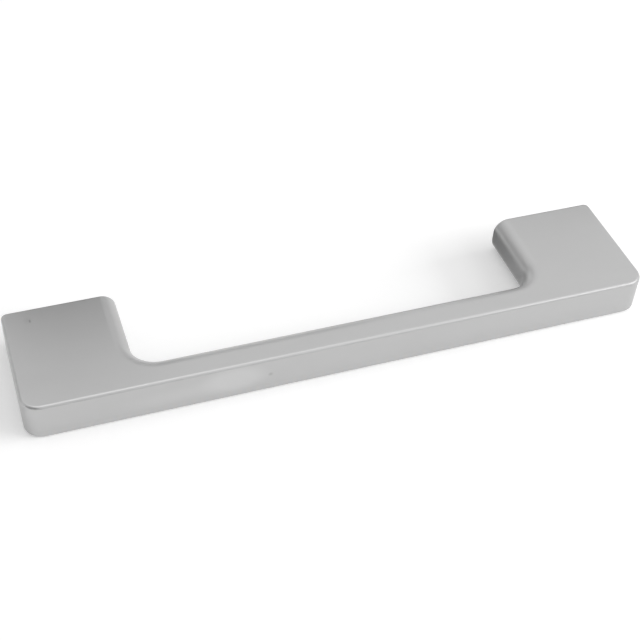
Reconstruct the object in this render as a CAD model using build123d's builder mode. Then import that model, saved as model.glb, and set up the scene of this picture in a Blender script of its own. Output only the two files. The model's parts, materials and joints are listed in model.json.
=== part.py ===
"""Drawer handle: one flat solid casting with two broad legs and a slim grip bar.

It lies as it is mounted, with +X along the grip, +Y into the drawer front and +Z up.
The origin is on the mounting plane, midway between the two tapped screw holes.
"""

import os
from math import radians, tan

from build123d import *

# Main sizes, in millimetres
SCREW_SPACING = 128.0  # from one screw's centre to the other's
LEG_WIDTH = 27.2  # each leg, along the handle
PROJECTION = 32.2  # from the mounting plane to the front face
THICKNESS = 9.9  # from the underside to the top face
GRIP_DEPTH = 8.7  # the grip bar, from front to back

# Roundings, in millimetres
FRONT_CORNER_RADIUS = 4.4  # front corners, seen from above
REAR_CORNER_RADIUS = 1.5  # outer corners at the mounting plane, seen from above
INNER_CORNER_RADIUS = 6.0  # where a leg meets the grip, seen from above
FINGER_ROLL_RADIUS = 3.7  # rolled edges all along the finger opening
OUTER_EDGE_RADIUS = 0.8  # eased edges of the outside and of the mounting faces

# Tapped screw holes, in millimetres and degrees
SCREW_DIAMETER = 4.0  # outer diameter of the thread
SCREW_HOLE_DEPTH = 12.0  # from the mounting face to the shoulder of the drill point
DRILL_POINT_ANGLE = 118.0  # full angle of the drill point
MOUTH_CHAMFER = 0.5  # countersink at the mouth, along the hole and across it

# Sizes that follow from the ones above
length = SCREW_SPACING + LEG_WIDTH
opening_width = SCREW_SPACING - LEG_WIDTH
opening_depth = PROJECTION - GRIP_DEPTH
underside = Plane.XY.offset(-THICKNESS / 2)
screw_radius = SCREW_DIAMETER / 2
mouth_radius = screw_radius + MOUTH_CHAMFER
hole_tip = SCREW_HOLE_DEPTH + screw_radius / tan(radians(DRILL_POINT_ANGLE / 2))

with BuildPart() as handle:
    # Flat blank with its four outer corners rounded in plan
    with BuildSketch(underside) as outline:
        Rectangle(length, PROJECTION, align=(Align.CENTER, Align.MAX))
        fillet(outline.vertices().group_by(Axis.Y)[0], FRONT_CORNER_RADIUS)
        fillet(outline.vertices().group_by(Axis.Y)[-1], REAR_CORNER_RADIUS)
    extrude(amount=THICKNESS)

    # Finger opening between the legs, open towards the drawer front
    with BuildSketch(underside) as opening:
        Rectangle(opening_width, opening_depth, align=(Align.CENTER, Align.MAX))
        fillet(opening.vertices().group_by(Axis.Y)[0], INNER_CORNER_RADIUS)
    extrude(amount=THICKNESS, mode=Mode.SUBTRACT)

    # Broad roll on the opening's upper and lower edges, from one mounting face to the other
    opening_edges = handle.edges(Select.LAST).filter_by_position(
        Axis.Y, -opening_depth, 0, inclusive=(True, False)
    )
    levels = opening_edges.group_by(Axis.Z)
    fillet(levels[0] + levels[-1], FINGER_ROLL_RADIUS)

    # Eased outer edges: from the front edges the rounding runs on round the whole outline
    # and both mounting faces, because all these edges meet smoothly
    front_edges = handle.edges().filter_by(Axis.X).group_by(Axis.Y)[0]
    fillet(front_edges, OUTER_EDGE_RADIUS)

    # One blind tapped hole in the middle of each mounting face
    for side in (-1, 1):
        hole_plane = Plane(origin=(side * SCREW_SPACING / 2, 0, 0))
        with BuildSketch(hole_plane) as hole_half:
            with BuildLine():
                Polyline(
                    (0, 0),
                    (mouth_radius, 0),
                    (screw_radius, -MOUTH_CHAMFER),
                    (screw_radius, -SCREW_HOLE_DEPTH),
                    (0, -hole_tip),
                    close=True,
                )
            make_face()
        revolve(axis=Axis(hole_plane.origin, (0, 1, 0)), mode=Mode.SUBTRACT)

handle.part.label = "handle"
os.makedirs("parts", exist_ok=True)
export_step(handle.part, "parts/handle.step")
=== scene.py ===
"""Looks of a flat satin nickel drawer handle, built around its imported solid.

Lengths are in metres unless a name ends in _mm. +X runs along the grip, +Y into the drawer front
and +Z up. The handle lies on the floor on its flat underside, as it is modelled.
"""

import json
import logging
import math
from abc import ABC, abstractmethod
from collections.abc import Callable
from dataclasses import dataclass
from enum import Enum

import bpy
from mathutils import Euler, Matrix, Vector


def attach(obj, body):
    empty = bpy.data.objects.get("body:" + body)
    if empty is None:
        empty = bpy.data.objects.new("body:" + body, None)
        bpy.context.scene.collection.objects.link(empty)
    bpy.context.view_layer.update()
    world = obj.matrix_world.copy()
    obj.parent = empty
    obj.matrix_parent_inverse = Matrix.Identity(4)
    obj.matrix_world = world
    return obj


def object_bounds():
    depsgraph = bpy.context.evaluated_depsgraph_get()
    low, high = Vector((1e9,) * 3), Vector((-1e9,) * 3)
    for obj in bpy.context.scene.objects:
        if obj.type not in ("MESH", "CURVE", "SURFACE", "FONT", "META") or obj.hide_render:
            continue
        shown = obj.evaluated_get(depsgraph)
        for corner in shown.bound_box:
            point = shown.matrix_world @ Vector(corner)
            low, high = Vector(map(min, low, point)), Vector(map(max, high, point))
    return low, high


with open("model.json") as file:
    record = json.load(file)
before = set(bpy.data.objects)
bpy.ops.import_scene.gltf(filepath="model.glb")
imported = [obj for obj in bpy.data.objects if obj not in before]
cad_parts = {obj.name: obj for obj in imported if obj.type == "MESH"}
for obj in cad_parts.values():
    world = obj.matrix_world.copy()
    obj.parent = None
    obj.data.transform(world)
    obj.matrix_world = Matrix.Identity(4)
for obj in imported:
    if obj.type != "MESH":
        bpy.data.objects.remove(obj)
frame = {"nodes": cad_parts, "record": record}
cad_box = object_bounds()

MM = 0.001
BODY = "root"
CASTING_NODE = "handle"
SCREW_DIMS = next(mount["dims"] for mount in frame["record"]["mounts"] if mount["name"] == "screws")
FRONT_MM = cad_box[0].y / MM
TOP_MM = cad_box[1].z / MM
FLOOR_MM = cad_box[0].z / MM
# A noise texture seldom leaves these two levels
NOISE_LOW, NOISE_HIGH = 0.3, 0.7
Colour = tuple[float, float, float, float]
log = logging.getLogger("drawer_handle")


class Side(Enum):
    """The two legs, named as they lie in front of the drawer, with the sign of X there."""

    LEFT = -1
    RIGHT = 1


def leg_top_mm(side: Side) -> tuple[float, float, float]:
    """Gives the middle of a leg's top face."""
    return side.value * SCREW_DIMS["spacing_x_mm"] / 2, FRONT_MM / 2, TOP_MM


def linear(code: str) -> Colour:
    """Turns an sRGB hex colour into a linear one.

    Args:
        code: The colour as "#RRGGBB".

    Returns:
        Linear red, green and blue, and an alpha of 1.
    """
    channels = [int(code[i : i + 2], 16) / 255 for i in (1, 3, 5)]
    red, green, blue = [c / 12.92 if c <= 0.04045 else ((c + 0.055) / 1.055) ** 2.4 for c in channels]
    return red, green, blue, 1.0


def heading(azimuth_deg: float, elevation_deg: float) -> Vector:
    """Gives a direction from the handle.

    Args:
        azimuth_deg: 0 in front of the handle, 90 to its right, 180 behind it.
        elevation_deg: Angle above the floor.

    Returns:
        The unit vector.
    """
    azimuth, elevation = math.radians(azimuth_deg), math.radians(elevation_deg)
    across = math.cos(elevation)
    return Vector((math.sin(azimuth) * across, -math.cos(azimuth) * across, math.sin(elevation)))


def add_node(
    tree: bpy.types.NodeTree,
    kind: str,
    settings: dict[str, object] | None = None,
    inputs: dict[str | int, object] | None = None,
) -> bpy.types.Node:
    """Adds a node with its settings, its input values and the links into it.

    Args:
        tree: The node tree that takes the node.
        kind: Blender's type name of the node.
        settings: Properties of the node by name.
        inputs: Input sockets by name or number, each with a value or with the socket to link from.

    Returns:
        The new node.
    """
    node = tree.nodes.new(kind)
    for name, value in (settings or {}).items():
        setattr(node, name, value)
    for name, value in (inputs or {}).items():
        if isinstance(value, bpy.types.NodeSocket):
            tree.links.new(value, node.inputs[name])
        else:
            node.inputs[name].default_value = value
    return node


def new_material(name: str) -> tuple[bpy.types.Material, bpy.types.NodeTree]:
    """Makes a material with an empty node tree.

    Args:
        name: The material's name.

    Returns:
        The material and its node tree.
    """
    material = bpy.data.materials.new(name)
    material.use_nodes = True
    material.node_tree.nodes.clear()
    return material, material.node_tree


def coat(piece: bpy.types.Object, material: bpy.types.Material) -> None:
    """Gives every face of a piece one material."""
    piece.data.materials.clear()
    piece.data.materials.append(material)


@dataclass(frozen=True)
class Mark:
    """A mark on a surface, darker or lighter than what is round it, with a soft edge. It serves for
    real specks, for a painted sheen and for a painted shadow.
    """

    centre_mm: tuple[float, float, float]
    half_mm: tuple[float, float, float]
    colour: str
    strength: float
    # Share of the mark, from its middle outwards, that has the full strength
    core: float = 0.0

    def lay(
        self,
        tree: bpy.types.NodeTree,
        place: bpy.types.NodeSocket,
        ground: bpy.types.NodeSocket | Colour,
    ) -> bpy.types.NodeSocket:
        """Lays the mark over a colour.

        Args:
            tree: The node tree of the surface's material.
            place: The place on the surface.
            ground: The colour without the mark.

        Returns:
            The colour with the mark.
        """
        offset = add_node(
            tree,
            "ShaderNodeVectorMath",
            {"operation": "SUBTRACT"},
            {0: place, 1: Vector(self.centre_mm) * MM},
        )
        share = add_node(
            tree,
            "ShaderNodeVectorMath",
            {"operation": "DIVIDE"},
            {0: offset.outputs["Vector"], 1: Vector(self.half_mm) * MM},
        )
        reach = add_node(
            tree, "ShaderNodeVectorMath", {"operation": "LENGTH"}, {0: share.outputs["Vector"]}
        )
        cover = add_node(
            tree,
            "ShaderNodeMapRange",
            {"interpolation_type": "SMOOTHSTEP"},
            {
                "Value": reach.outputs["Value"],
                "From Min": self.core,
                "From Max": 1.0,
                "To Min": self.strength,
                "To Max": 0.0,
            },
        )
        mixed = add_node(
            tree,
            "ShaderNodeMix",
            {"data_type": "RGBA"},
            {"Factor": cover.outputs["Result"], "A": ground, "B": linear(self.colour)},
        )
        return mixed.outputs["Result"]


@dataclass(frozen=True)
class SatinNickel:
    """Nickel plate on die-cast zinc that was bead blasted before plating.

    The blasting leaves a fine even grain, so the metal shows its surroundings only as soft clouds of
    grey. The plate comes out a little unevenly, in faint lighter and darker streaks along the handle.
    Two dark specks are where the photograph has them, and so is a lighter patch on the front face,
    which is a painted sheen.
    """

    name: str = "satin nickel plate on bead-blasted zinc"
    colour: str = "#C2C2C2"
    streak_colour: str = "#BDBDBD"
    streak_mm: float = 8.0
    # How many times longer a streak is than it is wide
    streak_stretch: float = 4.0
    roughness: float = 0.4
    roughness_spread: float = 0.012
    patch_mm: float = 5.0
    # Real bead dents are under 0.1 mm wide: they are drawn coarser, so that they show at all
    grain_mm: float = 0.45
    grain_height_mm: float = 0.0025
    marks: tuple[Mark, ...] = (
        # A painted sheen on the front face, a lighter patch: a wide faint part, and its brighter end
        Mark((-41.0, FRONT_MM, -0.4), (20.0, 1.5, 3.6), "#C8C8C8", 0.6),
        Mark((-29.5, FRONT_MM, 0.8), (10.0, 1.5, 4.8), "#CCCCCC", 0.75, 0.4),
        # The speck beside that end
        Mark((-20.7, FRONT_MM, 0.2), (0.85, 1.5, 0.8), "#8C8C8C", 0.42),
        # The speck near the rear left corner of the top, and the dull patch round it
        Mark((-71.25, -4.4, TOP_MM), (0.32, 0.8, 1.5), "#868686", 0.7, 0.2),
        Mark((-71.7, -4.0, TOP_MM), (1.4, 1.7, 1.5), "#AEAEAE", 0.4),
    )

    def material(self) -> bpy.types.Material:
        """Makes the finish.

        Returns:
            The material.
        """
        material, tree = new_material(self.name)
        place = add_node(tree, "ShaderNodeTexCoord").outputs["Object"]
        stretched = add_node(
            tree,
            "ShaderNodeVectorMath",
            {"operation": "DIVIDE"},
            {0: place, 1: (self.streak_stretch, 1.0, 1.0)},
        )
        streaks = add_node(
            tree,
            "ShaderNodeTexNoise",
            inputs={
                "Vector": stretched.outputs["Vector"],
                "Scale": 1 / (self.streak_mm * MM),
                "Detail": 3.0,
                "Roughness": 0.45,
            },
        )
        tint = add_node(
            tree,
            "ShaderNodeMix",
            {"data_type": "RGBA"},
            {
                "Factor": streaks.outputs["Fac"],
                "A": linear(self.colour),
                "B": linear(self.streak_colour),
            },
        )
        colour = tint.outputs["Result"]
        for mark in self.marks:
            colour = mark.lay(tree, place, colour)
        patches = add_node(
            tree,
            "ShaderNodeTexNoise",
            inputs={"Vector": place, "Scale": 1 / (self.patch_mm * MM), "Detail": 4.0},
        )
        satin = add_node(
            tree,
            "ShaderNodeMapRange",
            inputs={
                "Value": patches.outputs["Fac"],
                "From Min": NOISE_LOW,
                "From Max": NOISE_HIGH,
                "To Min": self.roughness - self.roughness_spread,
                "To Max": self.roughness + self.roughness_spread,
            },
        )
        grain = add_node(
            tree,
            "ShaderNodeTexNoise",
            inputs={"Vector": place, "Scale": 1 / (self.grain_mm * MM), "Detail": 1.0},
        )
        dents = add_node(
            tree,
            "ShaderNodeBump",
            inputs={"Height": grain.outputs["Fac"], "Distance": self.grain_height_mm * MM},
        )
        shader = add_node(
            tree,
            "ShaderNodeBsdfPrincipled",
            inputs={
                "Base Color": colour,
                "Metallic": 1.0,
                "Roughness": satin.outputs["Result"],
                "Normal": dents.outputs["Normal"],
            },
        )
        add_node(tree, "ShaderNodeOutputMaterial", inputs={"Surface": shader.outputs["BSDF"]})
        return material


@dataclass(frozen=True)
class CutZinc:
    """Zinc casting alloy as a tap leaves it.

    It is brighter and smoother than the blasted skin, with fine tool marks.
    """

    name: str = "cut zinc casting alloy"
    colour: str = "#B4B6B8"
    mark_colour: str = "#9DA0A3"
    mark_mm: float = 0.08
    roughness: float = 0.28

    def material(self) -> bpy.types.Material:
        """Makes the finish.

        Returns:
            The material.
        """
        material, tree = new_material(self.name)
        place = add_node(tree, "ShaderNodeTexCoord").outputs["Object"]
        marks = add_node(
            tree,
            "ShaderNodeTexNoise",
            inputs={"Vector": place, "Scale": 1 / (self.mark_mm * MM), "Detail": 2.0},
        )
        tint = add_node(
            tree,
            "ShaderNodeMix",
            {"data_type": "RGBA"},
            {
                "Factor": marks.outputs["Fac"],
                "A": linear(self.colour),
                "B": linear(self.mark_colour),
            },
        )
        shader = add_node(
            tree,
            "ShaderNodeBsdfPrincipled",
            inputs={"Base Color": tint.outputs["Result"], "Metallic": 1.0, "Roughness": self.roughness},
        )
        add_node(tree, "ShaderNodeOutputMaterial", inputs={"Surface": shader.outputs["BSDF"]})
        return material


@dataclass
class Casting:
    """The handle itself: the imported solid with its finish."""

    finish: SatinNickel
    node: str = CASTING_NODE

    def dress(self) -> bpy.types.Object:
        """Puts the finish on the solid.

        Returns:
            The solid's object.
        """
        piece = frame["nodes"][self.node]
        coat(piece, self.finish.material())
        return piece


@dataclass
class TappedThreads:
    """The M4 threads in the two screw holes, each a ridge that winds down the bore's wall."""

    finish: CutZinc
    pitch_mm: float = 0.7
    turns: int = 14
    crest_radius_mm: float = 1.62
    root_width_mm: float = 0.61
    crest_width_mm: float = 0.175
    # The ridge's root reaches this far into the wall, so that no gap shows
    sunk_mm: float = 0.05
    # The first turn starts this far inside the mounting face, just below the countersink
    start_mm: float = 0.9
    steps_per_turn: int = 48
    # Edges that turn more than this stay sharp, as those along the crest do
    smooth_deg: float = 35.0

    def build(self) -> list[bpy.types.Object]:
        """Winds the ridge in the left hole, copies it to the right one, and lets both ride.

        Returns:
            The two ridges.
        """
        left = self.wind(Side.LEFT)
        coat(left, self.finish.material())
        bpy.ops.object.duplicate()
        right = bpy.context.object
        bpy.ops.transform.translate(value=(SCREW_DIMS["spacing_x_mm"] * MM, 0.0, 0.0))
        bpy.ops.object.transform_apply(location=True, rotation=False, scale=False)
        threads = [left, right]
        for side, thread in zip(Side, threads):
            thread.name = f"{side.name.lower()}_screw_thread"
            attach(thread, BODY)
        return threads

    def wind(self, side: Side) -> bpy.types.Object:
        """Winds the ridge in one hole.

        Args:
            side: The leg with the hole.

        Returns:
            The ridge, selected.
        """
        axis_x = side.value * SCREW_DIMS["spacing_x_mm"] * MM / 2
        root_radius = (SCREW_DIMS["hole_r_mm"] + self.sunk_mm) * MM
        crest_radius = self.crest_radius_mm * MM
        depth = root_radius - crest_radius
        middle = Vector((axis_x + (root_radius + crest_radius) / 2, -self.start_mm * MM, 0.0))

        bpy.ops.object.select_all(action="DESELECT")
        bpy.ops.mesh.primitive_plane_add(size=depth, location=(axis_x, 0.0, 0.0))
        ridge = bpy.context.object
        # The plane becomes the ridge's section, wide at the wall and narrow at the crest
        bpy.ops.object.mode_set(mode="EDIT")
        bpy.ops.transform.translate(value=middle - Vector((axis_x, 0.0, 0.0)))
        bpy.ops.transform.resize(
            value=(1.0, self.root_width_mm * MM / depth, 1.0), center_override=middle
        )
        self.select_points(ridge, lambda point: point.x < (root_radius + crest_radius) / 2)
        bpy.ops.transform.resize(
            value=(1.0, self.crest_width_mm / self.root_width_mm, 1.0), center_override=middle
        )
        bpy.ops.object.mode_set(mode="OBJECT")

        winding = ridge.modifiers.new("winding", "SCREW")
        winding.axis = "Y"
        winding.angle = math.tau
        winding.screw_offset = -self.pitch_mm * MM
        winding.iterations = self.turns
        winding.steps = self.steps_per_turn
        winding.render_steps = self.steps_per_turn
        bpy.ops.object.modifier_apply(modifier=winding.name)
        self.close_ends()
        bpy.ops.object.transform_apply(location=True, rotation=False, scale=False)
        bpy.ops.object.shade_smooth_by_angle(angle=math.radians(self.smooth_deg))
        return ridge

    @staticmethod
    def select_points(piece: bpy.types.Object, wanted: Callable[[Vector], bool]) -> None:
        """Selects points of a mesh that is in edit mode.

        Args:
            piece: The mesh's object.
            wanted: Says whether a point, in the object's own coordinates, is selected.
        """
        bpy.ops.mesh.select_all(action="DESELECT")
        bpy.ops.object.mode_set(mode="OBJECT")
        for vertex in piece.data.vertices:
            vertex.select = wanted(vertex.co)
        bpy.ops.object.mode_set(mode="EDIT")

    @staticmethod
    def close_ends() -> None:
        """Fills the two open ends of the wound ridge and turns all its faces outwards."""
        bpy.ops.object.mode_set(mode="EDIT")
        bpy.ops.mesh.select_all(action="DESELECT")
        bpy.ops.mesh.select_mode(type="EDGE")
        bpy.ops.mesh.select_non_manifold()
        bpy.ops.mesh.fill()
        bpy.ops.mesh.select_all(action="SELECT")
        bpy.ops.mesh.normals_make_consistent(inside=False)
        bpy.ops.object.mode_set(mode="OBJECT")


@dataclass(frozen=True)
class PhotoCamera:
    """A camera whose place, angle and lens put the outline where the photograph has it."""

    azimuth_deg: float = -21.26
    elevation_deg: float = 44.01
    roll_deg: float = 3.59
    distance_mm: float = 304.9
    target_mm: tuple[float, float, float] = (-3.82, -18.12, 0.0)
    lens_mm: float = 70.4
    sensor_mm: float = 36.0

    def build(self) -> bpy.types.Object:
        """Makes the camera the scene's own.

        Returns:
            The camera.
        """
        back = heading(self.azimuth_deg, self.elevation_deg)
        place = (Vector(self.target_mm) + back * self.distance_mm) * MM
        bpy.ops.object.camera_add(location=place)
        camera = bpy.context.object
        camera.name = "photo_camera"
        level = (-back).to_track_quat("-Z", "Y").to_matrix().to_4x4()
        roll = Matrix.Rotation(math.radians(self.roll_deg), 4, "Z")
        camera.matrix_world = Matrix.Translation(place) @ level @ roll
        camera.data.lens = self.lens_mm
        camera.data.sensor_width = self.sensor_mm
        camera.data.clip_start = 1 * MM
        bpy.context.scene.camera = camera
        return camera


@dataclass(frozen=True, kw_only=True)
class Softbox:
    """A studio lamp that faces the handle from a given direction."""

    name: str
    azimuth_deg: float
    elevation_deg: float
    width_mm: float
    height_mm: float
    radiance: float
    distance_mm: float = 600.0
    # A lamp that only lights the floor is not mirrored in the metal
    lights_metal: bool = True

    def build(self) -> bpy.types.Object:
        """Hangs the lamp.

        Returns:
            The lamp.
        """
        away = heading(self.azimuth_deg, self.elevation_deg)
        bpy.ops.object.light_add(type="AREA", location=away * self.distance_mm * MM)
        lamp = bpy.context.object
        lamp.name = self.name
        lamp.rotation_euler = (-away).to_track_quat("-Z", "Y").to_euler()
        lamp.data.shape = "RECTANGLE"
        lamp.data.size = self.width_mm * MM
        lamp.data.size_y = self.height_mm * MM
        # A flat lamp sends out pi times its area and radiance
        lamp.data.energy = math.pi * self.width_mm * self.height_mm * MM**2 * self.radiance
        lamp.visible_camera = False
        lamp.visible_glossy = self.lights_metal
        return lamp


@dataclass(frozen=True, kw_only=True)
class Card(ABC):
    """A sheet of matt paper that shows only in the metal, which it gives soft darker tones."""

    name: str
    width_mm: float
    height_mm: float
    colour: str
    # A darker spot on the paper, a painted shadow
    shade: Mark | None = None

    @abstractmethod
    def pose(self) -> tuple[Vector, Euler]:
        """Gives the sheet's middle in mm, and how it is turned from lying flat."""

    def build(self) -> bpy.types.Object:
        """Cuts the sheet and puts it in its place.

        Returns:
            The card.
        """
        place_mm, turn = self.pose()
        bpy.ops.object.select_all(action="DESELECT")
        bpy.ops.mesh.primitive_plane_add(size=MM)
        card = bpy.context.object
        card.name = self.name
        card.scale = (self.width_mm, self.height_mm, 1.0)
        card.rotation_euler = turn
        card.location = place_mm * MM
        bpy.ops.object.transform_apply(location=True, rotation=True, scale=True)
        coat(card, self.paper())
        card.visible_camera = False
        card.visible_diffuse = False
        card.visible_shadow = False
        return card

    def paper(self) -> bpy.types.Material:
        """Makes the paper, which has no shine and looks the same from every side.

        Returns:
            The material.
        """
        material, tree = new_material(f"matt paper of {self.name}")
        tone: Colour | bpy.types.NodeSocket = linear(self.colour)
        if self.shade:
            place = add_node(tree, "ShaderNodeTexCoord").outputs["Object"]
            tone = self.shade.lay(tree, place, tone)
        sheet = add_node(tree, "ShaderNodeBsdfDiffuse", inputs={"Color": tone})
        add_node(tree, "ShaderNodeOutputMaterial", inputs={"Surface": sheet.outputs["BSDF"]})
        return material


@dataclass(frozen=True, kw_only=True)
class HungCard(Card):
    """A card that hangs beside the handle and faces it."""

    azimuth_deg: float
    elevation_deg: float
    distance_mm: float = 600.0
    # The place on the handle that the card faces
    aim_mm: tuple[float, float, float] = (0.0, 0.0, 0.0)

    def pose(self) -> tuple[Vector, Euler]:
        """Gives the sheet's middle in mm, and how it is turned from lying flat."""
        place_mm = heading(self.azimuth_deg, self.elevation_deg) * self.distance_mm
        return place_mm, (Vector(self.aim_mm) - place_mm).to_track_quat("-Z", "Y").to_euler()


@dataclass(frozen=True, kw_only=True)
class FloorCard(Card):
    """A card that lies on the floor and shows only in the metal. With its darker spot it is a painted
    shadow on the floor.
    """

    middle_mm: tuple[float, float]
    # Keeps the sheet clear of the floor's own face
    lift_mm: float = 0.1

    def pose(self) -> tuple[Vector, Euler]:
        """Gives the sheet's middle in mm, and how it is turned from lying flat."""
        return Vector((*self.middle_mm, FLOOR_MM + self.lift_mm)), Euler()


@dataclass
class Studio:
    """A white floor in a white surround, with soft lamps and grey cards."""

    softboxes: tuple[Softbox, ...]
    cards: tuple[Card, ...]
    floor_colour: str = "#F0F0F0"
    # What is added to the floor where it is seen, so that it is white
    floor_glow: float = 0.23
    floor_side_mm: float = 6000.0
    # How strongly the surround lights the floor: where it is seen, its strength is 1
    surround_level: float = 0.56

    def build(self) -> None:
        """Lays the floor, lights the surround, and puts up the lamps and cards."""
        self.build_floor()
        self.build_surround()
        for item in self.softboxes + self.cards:
            item.build()

    @staticmethod
    def seen_rays(tree: bpy.types.NodeTree) -> bpy.types.NodeSocket:
        """Tells the rays that show the background from those that only light something.

        Args:
            tree: The node tree of the floor or of the surround.

        Returns:
            1 for a ray that looks straight, in a reflection or through glass, and 0 for others.
        """
        rays = add_node(tree, "ShaderNodeLightPath").outputs
        seen = rays["Is Camera Ray"]
        for name in ("Is Glossy Ray", "Is Transmission Ray"):
            either = add_node(
                tree, "ShaderNodeMath", {"operation": "MAXIMUM"}, {0: seen, 1: rays[name]}
            )
            seen = either.outputs[0]
        return seen

    def build_floor(self) -> bpy.types.Object:
        """Lays the floor at the handle's underside.

        Returns:
            The floor.
        """
        bpy.ops.object.select_all(action="DESELECT")
        bpy.ops.mesh.primitive_plane_add(size=self.floor_side_mm * MM, location=(0, 0, cad_box[0].z))
        floor = bpy.context.object
        floor.name = "floor"
        # Matt paint mirrors nothing and shows only the handle's soft shadow
        material, tree = new_material("white painted floor")
        paint = add_node(tree, "ShaderNodeBsdfDiffuse", inputs={"Color": linear(self.floor_colour)})
        level = add_node(
            tree,
            "ShaderNodeMath",
            {"operation": "MULTIPLY"},
            {0: self.seen_rays(tree), 1: self.floor_glow},
        )
        glow = add_node(tree, "ShaderNodeEmission", inputs={"Strength": level.outputs[0]})
        both = add_node(
            tree, "ShaderNodeAddShader", inputs={0: paint.outputs["BSDF"], 1: glow.outputs["Emission"]}
        )
        add_node(tree, "ShaderNodeOutputMaterial", inputs={"Surface": both.outputs[0]})
        coat(floor, material)
        return floor

    def build_surround(self) -> None:
        """Makes the world white to look at, and a dimmer even light on the floor."""
        world = bpy.data.worlds.new("white surround")
        bpy.context.scene.world = world
        world.use_nodes = True
        tree = world.node_tree
        tree.nodes.clear()
        level = add_node(
            tree,
            "ShaderNodeMapRange",
            inputs={"Value": self.seen_rays(tree), "To Min": self.surround_level, "To Max": 1.0},
        )
        shader = add_node(
            tree,
            "ShaderNodeBackground",
            inputs={"Color": (1.0, 1.0, 1.0, 1.0), "Strength": level.outputs["Result"]},
        )
        add_node(tree, "ShaderNodeOutputWorld", inputs={"Surface": shader.outputs["Background"]})


def photo_studio() -> Studio:
    """Sets out the lamps and cards that give the metal the tones it has in the photograph.

    Returns:
        The studio, not yet built.
    """
    softboxes = (
        # Lights the floor
        Softbox(
            name="key_softbox",
            azimuth_deg=76.0,
            elevation_deg=12.0,
            width_mm=2000.0,
            height_mm=1700.0,
            radiance=10.6,
            distance_mm=3000.0,
            lights_metal=False,
        ),
        # Brightens the line along the front edge, most at the right
        Softbox(
            name="edge_softbox",
            azimuth_deg=60.0,
            elevation_deg=35.0,
            width_mm=520.0,
            height_mm=260.0,
            radiance=1.4,
        ),
        # Fills in from above
        Softbox(
            name="top_softbox",
            azimuth_deg=0.0,
            elevation_deg=90.0,
            width_mm=800.0,
            height_mm=800.0,
            radiance=0.9,
            distance_mm=1500.0,
        ),
    )
    cards = (
        # Darkens the rear of the left leg's top
        HungCard(
            name="back_card",
            azimuth_deg=218.0,
            elevation_deg=27.0,
            distance_mm=100.0,
            width_mm=46.0,
            height_mm=58.0,
            colour="#848484",
            aim_mm=leg_top_mm(Side.LEFT),
        ),
        # Darkens the rear of the right leg's top a little
        HungCard(
            name="rear_right_card",
            azimuth_deg=118.0,
            elevation_deg=10.0,
            distance_mm=101.0,
            width_mm=50.0,
            height_mm=40.0,
            colour="#DCDCDC",
            aim_mm=leg_top_mm(Side.RIGHT),
        ),
        # Darkens the upper part of the roll on the right leg
        HungCard(
            name="rear_left_card",
            azimuth_deg=226.0,
            elevation_deg=20.0,
            width_mm=600.0,
            height_mm=430.0,
            colour="#B8B8B8",
        ),
        # Tones the roll on the left leg
        HungCard(
            name="roll_card",
            azimuth_deg=170.7,
            elevation_deg=33.0,
            distance_mm=114.0,
            width_mm=60.0,
            height_mm=50.0,
            colour="#D4D4D4",
        ),
        # Draws the dark line round the front left corner
        HungCard(
            name="front_left_card",
            azimuth_deg=-52.0,
            elevation_deg=28.0,
            distance_mm=700.0,
            width_mm=800.0,
            height_mm=760.0,
            colour="#8C8C8C",
        ),
        # A painted shadow on the floor beside the right leg, seen only in the metal: it darkens the
        # lower part of the roll on the right leg, most at the rear
        FloorCard(
            name="gap_painted_shadow_card",
            middle_mm=(24.5, 15.0),
            width_mm=50.0,
            height_mm=72.0,
            colour="#F0F0F0",
            # The painted shadow: a dark spot with a soft edge, darkest beside the right leg
            shade=Mark((49.0, 15.0, FLOOR_MM), (50.0, 33.0, 10.0), "#747474", 1.0),
        ),
        # Draws the dark line under the bright front edge
        HungCard(
            name="front_card",
            azimuth_deg=12.0,
            elevation_deg=3.0,
            distance_mm=700.0,
            width_mm=860.0,
            height_mm=80.0,
            colour="#585858",
        ),
    )
    return Studio(softboxes, cards)


def main() -> None:
    """Builds the handle's looks, the studio and the camera, and logs the pieces it makes."""
    logging.basicConfig(level=logging.INFO, format="%(name)s: %(message)s")
    bpy.context.scene.view_settings.view_transform = "Standard"
    bpy.ops.object.select_all(action="DESELECT")
    casting = Casting(SatinNickel()).dress()
    log.info("dressed %s", casting.name)
    for thread in TappedThreads(CutZinc()).build():
        log.info("made %s with %d faces", thread.name, len(thread.data.polygons))
    photo_studio().build()
    PhotoCamera().build()


if __name__ == "__main__":
    main()
